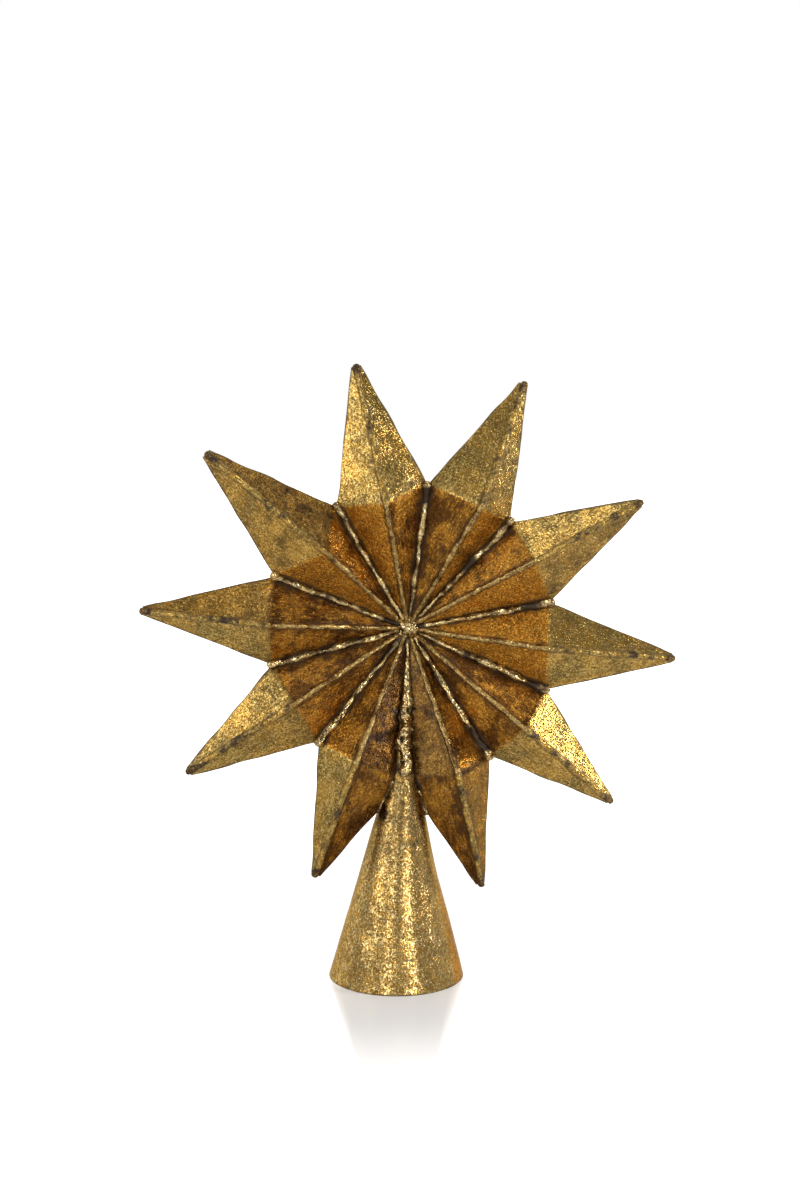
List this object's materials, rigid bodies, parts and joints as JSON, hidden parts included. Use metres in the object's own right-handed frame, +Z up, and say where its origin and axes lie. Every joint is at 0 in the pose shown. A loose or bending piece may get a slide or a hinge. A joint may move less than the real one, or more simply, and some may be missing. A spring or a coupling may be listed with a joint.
{
  "type": "christmas tree topper star",
  "caption": "Dished star of folded sheet-metal rays with brazed seams, standing on a hollow cone that slips over a tree's leader.",
  "frame": {"origin": "middle of the cone's open rim, on the plane that the rim stands on", "axes": "+Z up along the tree, -Y towards the viewer of the star's face, +X to that viewer's right"},
  "size_m": [0.2564, 0.0662, 0.2927],
  "materials": {
    "leafed_sheet": "antique gold leaf over sheet metal, with a brown glaze in the hollows",
    "leafed_cone": "antique gold leaf, mottled, with bright rubbed patches",
    "leafed_braze": "lumpy brazing metal under gold leaf, with dark pits",
    "dark_braze": "browned brazing metal on the ray ends"
  },
  "bodies": {
    "root": {"ray_01_left": "leafed_sheet", "ray_01_right": "leafed_sheet", "ray_02_left": "leafed_sheet", "ray_02_right": "leafed_sheet", "ray_03_left": "leafed_sheet", "ray_03_right": "leafed_sheet", "ray_04_left": "leafed_sheet", "ray_04_right": "leafed_sheet", "ray_05_left": "leafed_sheet", "ray_05_right": "leafed_sheet", "ray_06_left": "leafed_sheet", "ray_06_right": "leafed_sheet", "ray_07_left": "leafed_sheet", "ray_07_right": "leafed_sheet", "ray_08_left": "leafed_sheet", "ray_08_right": "leafed_sheet", "ray_09_left": "leafed_sheet", "ray_09_right": "leafed_sheet", "ray_10_left": "leafed_sheet", "ray_10_right": "leafed_sheet", "ridge_seam_01": "leafed_braze", "ridge_seam_02": "leafed_braze", "ridge_seam_03": "leafed_braze", "ridge_seam_04": "leafed_braze", "ridge_seam_05": "leafed_braze", "ridge_seam_06": "leafed_braze", "ridge_seam_07": "leafed_braze", "ridge_seam_08": "leafed_braze", "ridge_seam_09": "leafed_braze", "ridge_seam_10": "leafed_braze", "valley_seam_01": "leafed_braze", "valley_seam_02": "leafed_braze", "valley_seam_03": "leafed_braze", "valley_seam_04": "leafed_braze", "valley_seam_05": "leafed_braze", "valley_seam_06": "leafed_braze", "valley_seam_07": "leafed_braze", "valley_seam_08": "leafed_braze", "valley_seam_09": "leafed_braze", "valley_seam_10": "leafed_braze", "tip_drop_01": "dark_braze", "tip_drop_02": "dark_braze", "tip_drop_03": "dark_braze", "tip_drop_04": "dark_braze", "tip_drop_05": "dark_braze", "tip_drop_06": "dark_braze", "tip_drop_07": "dark_braze", "tip_drop_08": "dark_braze", "tip_drop_09": "dark_braze", "tip_drop_10": "dark_braze", "hub_boss": "leafed_braze", "cone_shell": "leafed_cone", "cone_seam": "leafed_braze", "apex_braze": "leafed_braze", "cone_braze_left": "leafed_braze", "cone_braze_right": "leafed_braze"}
  },
  "joints": []
}
